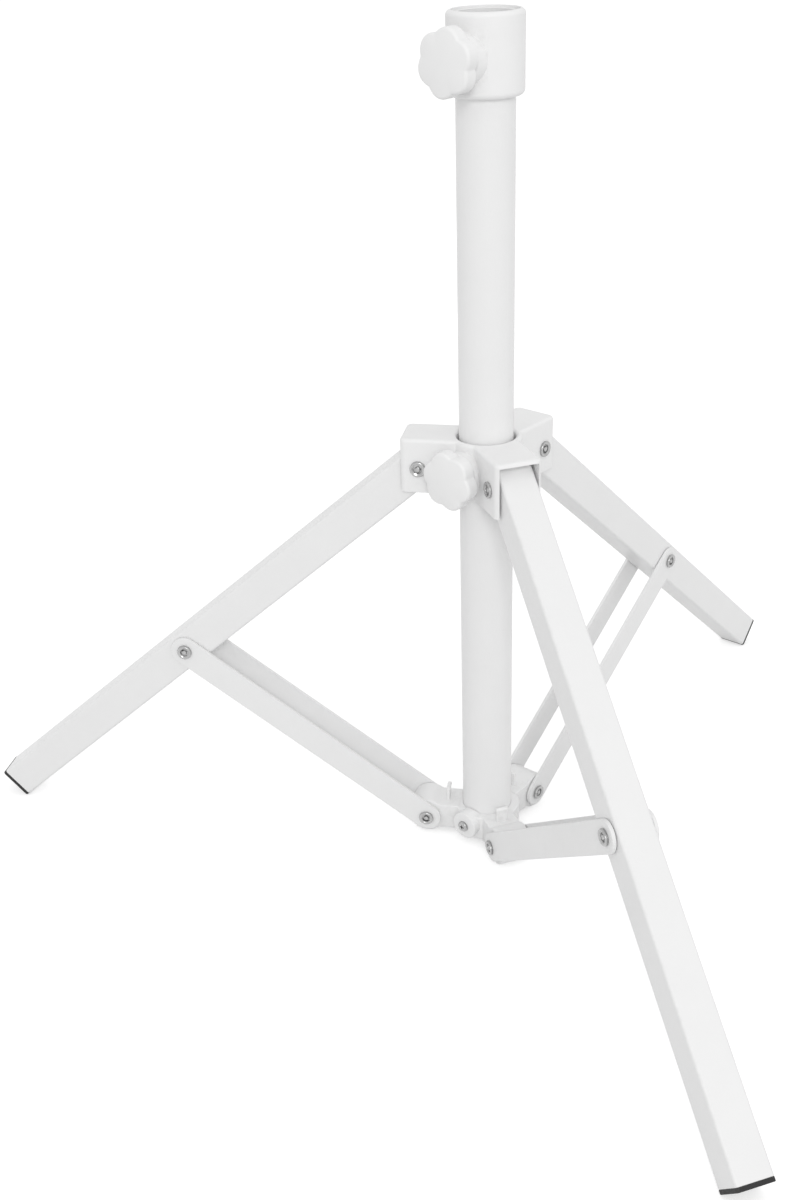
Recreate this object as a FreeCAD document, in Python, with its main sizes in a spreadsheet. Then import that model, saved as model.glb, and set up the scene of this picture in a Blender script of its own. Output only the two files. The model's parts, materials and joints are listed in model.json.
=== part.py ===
"""Folding tripod stand that carries the pole of a salon hood dryer.

A fixed tube stands in a lower hub.  An upper hub slides along it and carries three legs, and pairs of
flat braces tie each leg to the lower hub, so the legs fold up against the tube.

Frame: millimetres, +Z up, the floor at Z = 0, the origin under the middle of the bounding box.  One leg
points along -Y, the other two at 30 and 150 degrees, and both clamp knobs point at 210 degrees.
"""

import FreeCAD
import Part
import math
import os
import re
import Sketcher
from FreeCAD import Placement
from FreeCAD import Rotation
from FreeCAD import Vector

SIZES = {
    # whole stand
    "stand_height": 508.0,
    "leg_tilt": 49.5,
    # fixed tube
    "tube_radius": 16.0,
    "tube_wall": 1.5,
    "seat_fit": 0.05,
    # collar at the top of the tube
    "collar_radius": 20.6,
    "collar_height": 41.5,
    "collar_round": 3.0,
    "rim_round": 2.6,
    "mouth_drop": 1.2,
    "mouth_depth": 2.4,
    "mouth_rim": 2.8,
    "collar_knob_drop": 22.4,
    # clamp bosses, inserts, screws and knobs, alike on the collar and the upper hub
    "boss_radius": 13.6,
    "top_boss_reach": 24.0,
    "hub_boss_reach": 27.0,
    "boss_round": 1.5,
    "insert_radius": 6.0,
    "insert_wall": 0.6,
    "clamp_radius": 4.0,
    "clamp_clearance": 0.06,
    "clamp_hole_gap": 0.6,
    "clamp_grip": 7.0,
    "tip_radius": 2.5,
    "tip_length": 5.0,
    "tip_stand": 1.2,
    "pole_tip_inset": 0.3,
    "knob_gap": 0.6,
    "neck_radius": 9.0,
    "neck_length": 2.0,
    "knob_radius": 17.4,
    "knob_core": 15.2,
    "lobe_radius": 8.0,
    "lobe_count": 6,
    "knob_depth": 10.0,
    "dome_radius": 90.0,
    "top_knob_turn": 50.0,
    "hub_knob_turn": 18.0,
    # upper hub
    "hub_top": 18.0,
    "hub_drop": 15.0,
    "hub_play": 1.4,
    "hub_wall": 3.8,
    "hub_tip_gap": 0.9,
    "arm_reach": 49.5,
    "arm_corner": 4.0,
    "plate_thick": 2.5,
    "cheek_thick": 2.2,
    "cheek_gap": 1.3,
    "pivot_radius": 38.5,
    # legs
    "leg_length": 390.0,
    "leg_width": 21.4,
    "leg_depth": 23.0,
    "leg_wall": 1.2,
    "leg_corner": 1.6,
    "leg_top": 9.0,
    "brace_point": 207.0,
    "open_play": 2.3,
    "foot_thick": 2.6,
    "foot_stem": 18.0,
    "foot_fit": 0.1,
    "spacer_wall": 1.6,
    # braces
    "brace_width": 19.0,
    "brace_thick": 2.3,
    "brace_gap": 0.5,
    # rivets
    "pin_radius": 2.5,
    "pin_clearance": 0.05,
    "head_radius": 4.8,
    "head_thick": 1.6,
    "head_round": 0.6,
    "head_gap": 0.3,
    "dish_radius": 2.6,
    "dish_depth": 1.1,
    # lower hub
    "foot_pivot_radius": 39.0,
    "foot_pivot_height": 12.5,
    "tongue_radius": 12.0,
    "tongue_half": 9.0,
    "ring_wall": 5.4,
    "ring_floor": 2.5,
    "ring_ledge": 3.0,
    "lug_radius": 9.2,
    "lug_reach": 25.0,
    "lug_rise": 1.5,
    "fixing_radius": 2.0,
    "fixing_head": 3.6,
    "fixing_head_thick": 2.2,
    "fixing_grip": 1.2,
    "tab_reach": 25.5,
    "tab_width": 7.8,
    "tab_thick": 1.6,
    "tab_height": 10.0,
    "bead_radius": 1.4,
}

ARM_AZIMUTHS = {"right": 30.0, "left": 150.0, "front": 270.0}
KNOB_AZIMUTH = 210.0

# lengths worked out from the sheet, as formulas of its cells
HUB_HEIGHT = "(leg_length * cos(leg_tilt) + leg_depth / 2 * sin(leg_tilt))"
BRACE_END_REACH = "(pivot_radius + brace_point * sin(leg_tilt))"
BRACE_END_HEIGHT = f"({HUB_HEIGHT} - brace_point * cos(leg_tilt))"
BRACE_RUN = f"({BRACE_END_REACH} - foot_pivot_radius)"
BRACE_RISE = f"({BRACE_END_HEIGHT} - foot_pivot_height)"
BRACE_LENGTH = f"sqrt({BRACE_RUN} ^ 2 + {BRACE_RISE} ^ 2)"
FOOT_REACH = "(pivot_radius + leg_length * sin(leg_tilt))"
FRONT_EXTENT = f"({FOOT_REACH} + leg_depth / 2 * cos(leg_tilt))"
REAR_EXTENT = (
    f"({FOOT_REACH} * sin(30) + (leg_width / 2 - leg_corner) * cos(30)"
    " + (leg_depth / 2 - leg_corner) * sin(30) * cos(leg_tilt)"
    " + leg_corner * sqrt(cos(30) ^ 2 + (sin(30) * cos(leg_tilt)) ^ 2))"
)
AXIS_Y = f"(({FRONT_EXTENT} - {REAR_EXTENT}) / 2)"
HUB_BORE = "(tube_radius + hub_play)"
ARM_HALF = "(leg_width / 2 + cheek_gap + cheek_thick)"
BRACE_INNER = "(leg_width / 2 + brace_gap)"
BRACE_HEAD = f"({BRACE_INNER} + brace_thick + head_gap)"
RING_BOTTOM = "(foot_pivot_height - tongue_half)"
RING_TOP = "(foot_pivot_height + tongue_half)"
TUBE_SEAT = f"({RING_BOTTOM} + ring_floor)"
TUBE_TOP = "(stand_height - mouth_drop)"
COLLAR_KNOB_HEIGHT = "(stand_height - collar_knob_drop)"
INSERT_BACK = f"({HUB_BORE} + insert_wall)"
KNOB_STANDOFF = "(knob_gap + neck_length)"
FIXING_HEIGHT = "(foot_pivot_height + lug_rise)"
CLAMPS = {
    "top": (COLLAR_KNOB_HEIGHT, "(tube_radius - tube_wall + pole_tip_inset)"),
    "hub": (HUB_HEIGHT, "(tube_radius + hub_tip_gap)"),
}

doc = FreeCAD.newDocument("tripod_stand")
sheet = doc.addObject("Spreadsheet::Sheet", "Sizes")
parts = []


def fill_sheet():
    """Write every driving dimension to its own cell, with its name beside it as the alias."""
    for row, (name, number) in enumerate(SIZES.items(), start=1):
        sheet.set(f"A{row}", name)
        sheet.set(f"B{row}", str(number))
        sheet.setAlias(f"B{row}", name)
    doc.recompute()


def bound(formula):
    """Turn a formula of size names into an expression of the sheet's cells."""
    return re.sub(r"[a-z_]+", lambda word: f"Sizes.{word[0]}" if word[0] in SIZES else word[0], formula)


def size(formula):
    """The present value of a formula of size names."""
    number = sheet.evalExpression(bound(formula))
    return float(getattr(number, "Value", number))


def new_body(label):
    """An empty body, which becomes one sub-part or one member of a group."""
    body = doc.addObject("PartDesign::Body", label)
    body.Label = label
    return body


def origin_plane(body, role):
    """One of the body's own origin planes, found by its role."""
    return next(item for item in body.Origin.OriginFeatures if item.Role == role)


def new_sketch(body, role, lift=None):
    """A sketch on one of the body's origin planes, lifted along the plane's normal if asked."""
    sketch = body.newObject("Sketcher::SketchObject", "Sketch")
    sketch.AttachmentSupport = [(origin_plane(body, role), "")]
    sketch.MapMode = "FlatFace"
    if lift is not None:
        sketch.setExpression(".AttachmentOffset.Base.z", bound(lift))
    return sketch


def set_distance(sketch, kind, element, point, formula):
    """Bind one coordinate of a sketch point, measured from the sketch's origin."""
    rule = Sketcher.Constraint(kind, -1, 1, element, point, size(formula))
    sketch.setExpression(f"Constraints[{sketch.addConstraint(rule)}]", bound(formula))


def set_radius(sketch, element, formula):
    """Bind the radius of a circle or an arc."""
    rule = Sketcher.Constraint("Radius", element, size(formula))
    sketch.setExpression(f"Constraints[{sketch.addConstraint(rule)}]", bound(formula))


def draw_polygon(sketch, corners):
    """A closed outline of straight lines, each corner bound to its two formulas."""
    points = [Vector(size(across), size(up), 0) for across, up in corners]
    first = sketch.GeometryCount
    total = len(points)
    for index, point in enumerate(points):
        sketch.addGeometry(Part.LineSegment(point, points[(index + 1) % total]), False)
    for index in range(total):
        following = first + (index + 1) % total
        sketch.addConstraint(Sketcher.Constraint("Coincident", first + index, 2, following, 1))
    for index, (across, up) in enumerate(corners):
        set_distance(sketch, "DistanceX", first + index, 1, across)
        set_distance(sketch, "DistanceY", first + index, 1, up)


def draw_circle(sketch, radius, across="0", up="0"):
    """A circle whose centre and radius are bound to formulas."""
    centre = Vector(size(across), size(up), 0)
    element = sketch.addGeometry(Part.Circle(centre, Vector(0, 0, 1), size(radius)), False)
    set_distance(sketch, "DistanceX", element, 3, across)
    set_distance(sketch, "DistanceY", element, 3, up)
    set_radius(sketch, element, radius)


def draw_rounded(sketch, left, right, bottom, top, radius):
    """A rectangle with four equal round corners, or a slot where the radius is half its height.

    The arcs are bound by centre and radius, and every line is tangent to the arcs at its ends.
    """
    reach = size(radius)
    slot = abs(size(f"({top}) - ({bottom})") - 2 * reach) < 1e-9
    spans = [(right, "-", top, "-", 0), (left, "+", top, "-", 90), (left, "+", bottom, "+", 180)]
    spans.append((right, "-", bottom, "+", 270))
    if slot:
        spans = [(right, "-", top, "-", -90), (left, "+", top, "-", 90)]
    sweep = 180 if slot else 90
    centres = [(f"({x}) {sx} ({radius})", f"({y}) {sy} ({radius})") for x, sx, y, sy, _ in spans]
    arcs = []
    for (across, up), span in zip(centres, spans):
        circle = Part.Circle(Vector(size(across), size(up), 0), Vector(0, 0, 1), reach)
        start = math.radians(span[4])
        arcs.append(sketch.addGeometry(Part.ArcOfCircle(circle, start, start + math.radians(sweep)), False))
    for (across, up), arc in zip(centres, arcs):
        set_distance(sketch, "DistanceX", arc, 3, across)
        set_distance(sketch, "DistanceY", arc, 3, up)
        set_radius(sketch, arc, radius)
    for index, arc in enumerate(arcs):
        following = arcs[(index + 1) % len(arcs)]
        ends = sketch.getPoint(arc, 2), sketch.getPoint(following, 1)
        line = sketch.addGeometry(Part.LineSegment(*ends), False)
        sketch.addConstraint(Sketcher.Constraint("Tangent", arc, 2, line, 1))
        sketch.addConstraint(Sketcher.Constraint("Tangent", line, 2, following, 1))


def solid_feature(body, kind, sketch):
    """A feature of the given kind made from a sketch, which is hidden inside the body."""
    feature = body.newObject(f"PartDesign::{kind}", kind)
    feature.Profile = sketch
    return feature


def pad(body, sketch, length, symmetric=False, backward=False):
    """Add the sketch's outline, pushed along its normal, both ways, or backward."""
    feature = solid_feature(body, "Pad", sketch)
    feature.setExpression("Length", bound(length))
    feature.SideType = "Symmetric" if symmetric else "One side"
    feature.Reversed = backward
    doc.recompute()
    return feature


def cut(body, sketch, length=None, symmetric=False, forward=False):
    """Remove the sketch's outline: to a depth, or through everything where no depth is given."""
    before = body.Shape.Volume
    feature = solid_feature(body, "Pocket", sketch)
    if length is None:
        feature.Type = "ThroughAll"
    else:
        feature.setExpression("Length", bound(length))
    feature.SideType = "Symmetric" if symmetric else "One side"
    feature.Reversed = forward
    doc.recompute()
    if not body.Shape.Volume < before:
        raise ValueError(f"{body.Label}: a pocket removed nothing")
    return feature


def turn(body, profile):
    """Revolve a closed outline of (radius, height) corners about the body's Z axis."""
    sketch = new_sketch(body, "XZ_Plane")
    draw_polygon(sketch, profile)
    feature = solid_feature(body, "Revolution", sketch)
    feature.ReferenceAxis = (sketch, ["V_Axis"])
    feature.Angle = 360
    doc.recompute()
    return feature


def repeat(body, originals, count):
    """Repeat features evenly about the body's Z axis."""
    feature = body.newObject("PartDesign::PolarPattern", "PolarPattern")
    feature.Originals = originals
    feature.Axis = (next(item for item in body.Origin.OriginFeatures if item.Role == "Z_Axis"), [""])
    feature.Angle = 360
    feature.setExpression("Occurrences", bound(count))
    body.Tip = feature
    doc.recompute()
    return feature


def round_edges(body, radius, chosen):
    """Fillet every edge of the body's present shape that the test picks."""
    names = [f"Edge{number}" for number, edge in enumerate(body.Shape.Edges, start=1) if chosen(edge)]
    if not names:
        raise ValueError(f"{body.Label}: no edge to round")
    rounded = body.Tip
    feature = body.newObject("PartDesign::Fillet", "Fillet")
    feature.Base = (rounded, names)
    feature.setExpression("Radius", bound(radius))
    doc.recompute()
    return feature


def is_rim(edge, radius, height):
    """Whether an edge is a circle about the Z axis with this radius and height."""
    curve = edge.Curve
    if not isinstance(curve, Part.Circle):
        return False
    centred = math.hypot(curve.Center.x, curve.Center.y) < 1e-6
    return centred and abs(curve.Radius - size(radius)) < 1e-6 and abs(curve.Center.z - size(height)) < 1e-6


def on_axis(height, spin=0.0):
    """A placement on the tube's axis at a height, turned about it."""
    return Placement(Vector(0, size(AXIS_Y), size(height)), Rotation(Vector(0, 0, 1), spin))


def along_knob(height):
    """A placement whose Z axis leaves the tube's axis towards the clamp knobs."""
    return on_axis(height, KNOB_AZIMUTH) * Placement(Vector(), Rotation(Vector(0, 1, 0), 90))


def at_arm(azimuth, reach, height, pitch):
    """A placement at a pivot of one arm, with X tipped down by the pitch from the outward radius."""
    moved = Placement(Vector(size(reach), 0, 0), Rotation(Vector(0, 1, 0), pitch))
    return on_axis(height, azimuth) * moved


def leg_placement(azimuth):
    """The leg's frame: origin on its pivot, X down the leg, Y across it and Z out of its upper face."""
    return at_arm(azimuth, "pivot_radius", HUB_HEIGHT, 90 - size("leg_tilt"))


def brace_placement(azimuth):
    """The brace's frame: origin on its lower pivot, X up the brace and Y across it."""
    rise = math.degrees(math.atan2(size(BRACE_RISE), size(BRACE_RUN)))
    return at_arm(azimuth, "foot_pivot_radius", "foot_pivot_height", -rise)


def across():
    """A turn that lays a body's Z axis along the Y axis of the frame it goes in."""
    return Placement(Vector(), Rotation(Vector(1, 0, 0), -90))


def keep(shape_object, placement=None):
    """Place a finished sub-part and put it on the list that is written out."""
    if placement is not None:
        shape_object.Placement = placement
    parts.append(shape_object)


def group(label, members):
    """One node that holds several like solids."""
    node = doc.addObject("Part::Compound", label)
    node.Label = label
    node.Links = members
    keep(node)


def make_tube():
    """The fixed tube, with a hole for each of the two screws that reach it through its wall."""
    body = new_body("main_tube")
    inner = "tube_radius - tube_wall"
    turn(body, [(inner, TUBE_SEAT), ("tube_radius", TUBE_SEAT), ("tube_radius", TUBE_TOP), (inner, TUBE_TOP)])
    clamp_hole = ("clamp_radius + clamp_hole_gap", COLLAR_KNOB_HEIGHT)
    for radius, height in (clamp_hole, ("fixing_radius", FIXING_HEIGHT)):
        sketch = new_sketch(body, "YZ_Plane")
        draw_circle(sketch, radius, up=height)
        cut(body, sketch, "tube_radius * 2")
    keep(body, on_axis("0", KNOB_AZIMUTH + 180))


def add_clamp_boss(body, reach):
    """A round boss along -X, the body's first feature, with the edge of its face rounded."""
    sketch = new_sketch(body, "YZ_Plane")
    draw_circle(sketch, "boss_radius")
    pad(body, sketch, reach, backward=True)
    face = -size(reach)
    round_edges(body, "boss_round", lambda edge: abs(edge.BoundBox.XMax - face) < 1e-6)


def bore_clamp_boss(body, reach):
    """Open the boss: the screw's clearance hole first, then the insert's wider seat from outside."""
    screw_hole = new_sketch(body, "YZ_Plane")
    draw_circle(screw_hole, "clamp_radius + clamp_hole_gap")
    cut(body, screw_hole, f"{reach} * 1.5")
    seat = new_sketch(body, "YZ_Plane", lift=f"-{reach}")
    draw_circle(seat, "insert_radius")
    cut(body, seat, f"{reach} - {INSERT_BACK}", forward=True)


def make_collar():
    """The clamp collar pressed on the tube's top end, its origin at the knob's height."""
    body = new_body("top_collar")
    top = "collar_knob_drop"
    bottom = "collar_knob_drop - collar_height"
    add_clamp_boss(body, "top_boss_reach")
    turn(body, [("0", bottom), ("collar_radius", bottom), ("collar_radius", top), ("0", top)])
    round_edges(body, "collar_round", lambda edge: is_rim(edge, "collar_radius", bottom))
    round_edges(body, "rim_round", lambda edge: is_rim(edge, "collar_radius", top))
    bore = new_sketch(body, "XY_Plane")
    draw_circle(bore, "tube_radius + seat_fit")
    cut(body, bore, symmetric=True)
    mouth = new_sketch(body, "XY_Plane", lift=top)
    draw_circle(mouth, "collar_radius - mouth_rim")
    cut(body, mouth, "mouth_depth")
    bore_clamp_boss(body, "top_boss_reach")
    keep(body, on_axis(COLLAR_KNOB_HEIGHT, KNOB_AZIMUTH + 180))


def make_upper_hub():
    """The sliding hub: a loose ring, three hollow arms that straddle the legs, and the clamp boss."""
    body = new_body("upper_hub")
    height = "hub_top + hub_drop"
    add_clamp_boss(body, "hub_boss_reach")
    ring = new_sketch(body, "XY_Plane", lift="-hub_drop")
    draw_circle(ring, f"{HUB_BORE} + hub_wall")
    pad(body, ring, height)
    plan = new_sketch(body, "XY_Plane", lift="-hub_drop")
    draw_rounded(plan, "0", "arm_reach", f"-{ARM_HALF}", ARM_HALF, "arm_corner")
    repeat(body, [pad(body, plan, height)], "3")
    slot = new_sketch(body, "XY_Plane", lift="hub_top - plate_thick")
    half = "leg_width / 2 + cheek_gap"
    start = f"{HUB_BORE} + hub_wall"
    end = "arm_reach * 1.5"
    draw_polygon(slot, [(start, f"-({half})"), (end, f"-({half})"), (end, half), (start, half)])
    repeat(body, [cut(body, slot, height)], "3")
    pivot = new_sketch(body, "XZ_Plane")
    draw_circle(pivot, "pin_radius", across="pivot_radius")
    repeat(body, [cut(body, pivot, f"{ARM_HALF} * 4", symmetric=True)], "3")
    bore = new_sketch(body, "XY_Plane")
    draw_circle(bore, HUB_BORE)
    cut(body, bore, symmetric=True)
    bore_clamp_boss(body, "hub_boss_reach")
    keep(body, on_axis(HUB_HEIGHT, KNOB_AZIMUTH + 180))


def make_insert(label, height, face):
    """The threaded brass insert, flush with the boss's face."""
    body = new_body(label)
    inner = "clamp_radius + clamp_clearance"
    turn(body, [(inner, INSERT_BACK), ("insert_radius", INSERT_BACK), ("insert_radius", face), (inner, face)])
    keep(body, along_knob(height))


def make_clamp_screw(label, height, face, tip_face):
    """The steel clamp screw, held in the knob and drilled at its end for the soft tip."""
    body = new_body(label)
    end = f"{face} + {KNOB_STANDOFF} + clamp_grip"
    hole_floor = f"{tip_face} + tip_length"
    start = f"{tip_face} + tip_stand"
    turn(
        body,
        [
            ("0", hole_floor),
            ("tip_radius", hole_floor),
            ("tip_radius", start),
            ("clamp_radius", start),
            ("clamp_radius", end),
            ("0", end),
        ],
    )
    keep(body, along_knob(height))


def make_screw_tip(label, height, tip_face):
    """The nylon tip that presses on the tube without marking it."""
    body = new_body(label)
    back = f"{tip_face} + tip_length"
    turn(body, [("0", tip_face), ("tip_radius", tip_face), ("tip_radius", back), ("0", back)])
    keep(body, along_knob(height))


def make_knob(label, height, face, first_lobe):
    """The lobed star knob with a domed front and a short neck towards the boss's face."""
    back = f"({face} + {KNOB_STANDOFF})"
    core = doc.addObject("Part::Cylinder", "KnobCore")
    core.setExpression("Radius", bound("knob_core"))
    core.setExpression("Height", bound("knob_depth"))
    core.setExpression("Placement.Base.z", bound(back))
    solids = [core]
    for index in range(int(size("lobe_count"))):
        lobe = doc.addObject("Part::Cylinder", "KnobLobe")
        angle = f"({first_lobe} + {index} * 360 / lobe_count)"
        lobe.setExpression("Radius", bound("lobe_radius"))
        lobe.setExpression("Height", bound("knob_depth"))
        lobe.setExpression("Placement.Base.x", bound(f"(knob_radius - lobe_radius) * cos({angle})"))
        lobe.setExpression("Placement.Base.y", bound(f"(knob_radius - lobe_radius) * sin({angle})"))
        lobe.setExpression("Placement.Base.z", bound(back))
        solids.append(lobe)
    star = doc.addObject("Part::MultiFuse", "KnobStar")
    star.Shapes = solids
    star.Refine = True
    dome = doc.addObject("Part::Sphere", "KnobDome")
    dome.setExpression("Radius", bound("dome_radius"))
    dome.setExpression("Placement.Base.z", bound(f"{back} + knob_depth - dome_radius"))
    head = doc.addObject("Part::Common", "KnobHead")
    head.Base = star
    head.Tool = dome
    neck = doc.addObject("Part::Cylinder", "KnobNeck")
    neck.setExpression("Radius", bound("neck_radius"))
    neck.setExpression("Height", bound("neck_length + knob_depth / 2"))
    neck.setExpression("Placement.Base.z", bound(f"{face} + knob_gap"))
    whole = doc.addObject("Part::Fuse", "KnobWhole")
    whole.Base = head
    whole.Tool = neck
    socket = doc.addObject("Part::Cylinder", "KnobSocket")
    socket.setExpression("Radius", bound("clamp_radius"))
    socket.setExpression("Height", bound(f"{KNOB_STANDOFF} + clamp_grip"))
    socket.setExpression("Placement.Base.z", bound(face))
    knob = doc.addObject("Part::Cut", label)
    knob.Label = label
    knob.Base = whole
    knob.Tool = socket
    doc.recompute()
    keep(knob, along_knob(height))


def make_leg(side, azimuth):
    """One leg: a square tube with round corners, bored for the hub's rivet and the brace rivet."""
    body = new_body(f"leg_{side}")
    section = new_sketch(body, "YZ_Plane", lift="-leg_top")
    wide = "leg_width / 2"
    deep = "leg_depth / 2"
    draw_rounded(section, f"-{wide}", wide, f"-{deep}", deep, "leg_corner")
    inner_wide = "(leg_width / 2 - leg_wall)"
    inner_deep = "(leg_depth / 2 - leg_wall)"
    bends = "leg_corner - leg_wall"
    draw_rounded(section, f"-{inner_wide}", inner_wide, f"-{inner_deep}", inner_deep, bends)
    pad(body, section, "leg_top + leg_length - foot_thick")
    play = "pin_clearance" if side == "left" else "open_play"
    for radius, place in ((f"pin_radius + {play}", "0"), ("pin_radius", "brace_point")):
        bore = new_sketch(body, "XZ_Plane")
        draw_circle(bore, radius, across=place)
        cut(body, bore, "leg_width * 2", symmetric=True)
    keep(body, leg_placement(azimuth))


def make_foot(side, azimuth):
    """The rubber foot: a plate over the leg's end and a stem pushed into the tube."""
    body = new_body(f"foot_{side}")
    plate = new_sketch(body, "YZ_Plane", lift="leg_length - foot_thick")
    wide = "leg_width / 2"
    deep = "leg_depth / 2"
    draw_rounded(plate, f"-{wide}", wide, f"-{deep}", deep, "leg_corner")
    pad(body, plate, "foot_thick")
    stem = new_sketch(body, "YZ_Plane", lift="leg_length - foot_thick")
    stem_wide = "(leg_width / 2 - leg_wall - foot_fit)"
    stem_deep = "(leg_depth / 2 - leg_wall - foot_fit)"
    draw_rounded(stem, f"-{stem_wide}", stem_wide, f"-{stem_deep}", stem_deep, "leg_corner - leg_wall")
    pad(body, stem, "foot_stem", backward=True)
    keep(body, leg_placement(azimuth))


def make_spacer(side, azimuth):
    """The sleeve round the brace rivet that keeps the leg's side walls apart."""
    body = new_body(f"leg_spacer_{side}")
    half = "leg_width / 2 - leg_wall"
    outer = "pin_radius + spacer_wall"
    turn(body, [("pin_radius", f"-({half})"), (outer, f"-({half})"), (outer, half), ("pin_radius", half)])
    offset = Placement(Vector(size("brace_point"), 0, 0), Rotation())
    keep(body, leg_placement(azimuth) * offset * across())


def make_brace(side, azimuth, name, hand):
    """One flat brace with round ends; the pair straddles the hub's tongue and the leg."""
    body = new_body(f"brace_{side}_{name}")
    inner = BRACE_INNER if hand > 0 else f"-({BRACE_INNER} + brace_thick)"
    outline = new_sketch(body, "XZ_Plane", lift=f"-({inner}) - brace_thick")
    half = "brace_width / 2"
    draw_rounded(outline, f"-{half}", f"{BRACE_LENGTH} + {half}", f"-{half}", half, half)
    pad(body, outline, "brace_thick")
    holes = new_sketch(body, "XZ_Plane")
    draw_circle(holes, "pin_radius + pin_clearance")
    draw_circle(holes, "pin_radius + pin_clearance", across=BRACE_LENGTH)
    cut(body, holes, "leg_width * 4", symmetric=True)
    keep(body, brace_placement(azimuth))


def make_rivet(label, seat):
    """A hollow-headed rivet about its own Z axis; each head starts at the seat's distance."""
    body = new_body(label)
    top = f"{seat} + head_thick"
    rim = "head_radius - head_round"
    shoulder = f"{top} - head_round"
    floor = f"{top} - dish_depth"
    upper = [
        ("pin_radius", seat),
        ("head_radius", seat),
        ("head_radius", shoulder),
        (rim, top),
        ("dish_radius", top),
        ("dish_radius", floor),
        ("0", floor),
    ]
    lower = [(radius, f"-({height})") for radius, height in reversed(upper)]
    turn(body, lower + upper)
    return body


def make_rivets():
    """The rivets of the hub's arms, of the lower hub's tongues and of the legs."""
    pivots = []
    tongues = []
    for side, azimuth in ARM_AZIMUTHS.items():
        pivot = make_rivet(f"PivotRivet_{side}", ARM_HALF)
        pivot.Placement = leg_placement(azimuth) * across()
        pivots.append(pivot)
        tongue = make_rivet(f"TongueRivet_{side}", BRACE_HEAD)
        tongue.Placement = brace_placement(azimuth) * across()
        tongues.append(tongue)
        offset = Placement(Vector(size("brace_point"), 0, 0), Rotation())
        rivet = make_rivet(f"brace_leg_rivet_{side}", BRACE_HEAD)
        keep(rivet, leg_placement(azimuth) * offset * across())
    group("leg_pivot_rivets", pivots)
    group("brace_hub_rivets", tongues)


def make_lower_hub():
    """The fixed hub under the tube: a cup, three tongues for the braces, a screw lug and three tabs."""
    body = new_body("lower_hub")
    outer = "tube_radius + ring_wall"
    inner = "tube_radius + seat_fit"
    ledge = "tube_radius - ring_ledge"
    cup = new_sketch(body, "XY_Plane", lift=RING_BOTTOM)
    draw_circle(cup, outer)
    pad(body, cup, "tongue_half * 2")
    arm = new_sketch(body, "XZ_Plane")
    reach = "foot_pivot_radius"
    draw_polygon(arm, [("0", RING_BOTTOM), (reach, RING_BOTTOM), (reach, RING_TOP), ("0", RING_TOP)])
    arm_pad = pad(body, arm, "leg_width", symmetric=True)
    end = new_sketch(body, "XZ_Plane")
    draw_circle(end, "tongue_radius", across=reach, up="foot_pivot_height")
    end_pad = pad(body, end, "leg_width", symmetric=True)
    tab = new_sketch(body, "XZ_Plane")
    near = "tab_reach - tab_thick / 2"
    far = "tab_reach + tab_thick / 2"
    crest = f"{RING_TOP} + tab_height - bead_radius"
    draw_polygon(tab, [(near, "foot_pivot_height"), (far, "foot_pivot_height"), (far, crest), (near, crest)])
    tab_pad = pad(body, tab, "tab_width", symmetric=True)
    bead = new_sketch(body, "XZ_Plane")
    draw_circle(bead, "bead_radius", across="tab_reach", up=crest)
    bead_pad = pad(body, bead, "tab_width", symmetric=True)
    repeat(body, [arm_pad, end_pad, tab_pad, bead_pad], "3")
    lug = new_sketch(body, "YZ_Plane")
    draw_circle(lug, "lug_radius", up=FIXING_HEIGHT)
    pad(body, lug, "lug_reach", backward=True)
    pivot = new_sketch(body, "XZ_Plane")
    draw_circle(pivot, "pin_radius", across=reach, up="foot_pivot_height")
    repeat(body, [cut(body, pivot, "leg_width * 2", symmetric=True)], "3")
    seat = new_sketch(body, "XY_Plane", lift=TUBE_SEAT)
    draw_circle(seat, inner)
    cut(body, seat, "tongue_half * 3", forward=True)
    drain = new_sketch(body, "XY_Plane")
    draw_circle(drain, ledge)
    cut(body, drain, symmetric=True)
    thread = new_sketch(body, "YZ_Plane")
    draw_circle(thread, "fixing_radius", up=FIXING_HEIGHT)
    cut(body, thread, "lug_reach * 2")
    keep(body, on_axis("0", KNOB_AZIMUTH + 180))


def make_fixing_screw():
    """The pan-head screw that holds the tube in the lower hub."""
    body = new_body("lower_hub_screw")
    start = "tube_radius - fixing_grip"
    under = "lug_reach"
    top = "lug_reach + fixing_head_thick"
    shoulder = f"{top} - head_round"
    crown = "fixing_head - head_round"
    turn(
        body,
        [
            ("0", start),
            ("fixing_radius", start),
            ("fixing_radius", under),
            ("fixing_head", under),
            ("fixing_head", shoulder),
            (crown, top),
            ("0", top),
        ],
    )
    keep(body, along_knob(FIXING_HEIGHT))


def make_stand():
    """Every sub-part of the stand, from the top of the tube down."""
    make_tube()
    make_collar()
    make_upper_hub()
    for name, (height, tip_face) in CLAMPS.items():
        boss_face = f"{name}_boss_reach"
        make_insert(f"{name}_insert", height, boss_face)
        make_clamp_screw(f"{name}_clamp_screw", height, boss_face, tip_face)
        make_screw_tip(f"{name}_screw_tip", height, tip_face)
        make_knob(f"{name}_knob", height, boss_face, f"{name}_knob_turn")
    for side, azimuth in ARM_AZIMUTHS.items():
        make_leg(side, azimuth)
        make_foot(side, azimuth)
        make_spacer(side, azimuth)
        make_brace(side, azimuth, "a", 1)
        make_brace(side, azimuth, "b", -1)
    make_rivets()
    make_lower_hub()
    make_fixing_screw()


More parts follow.
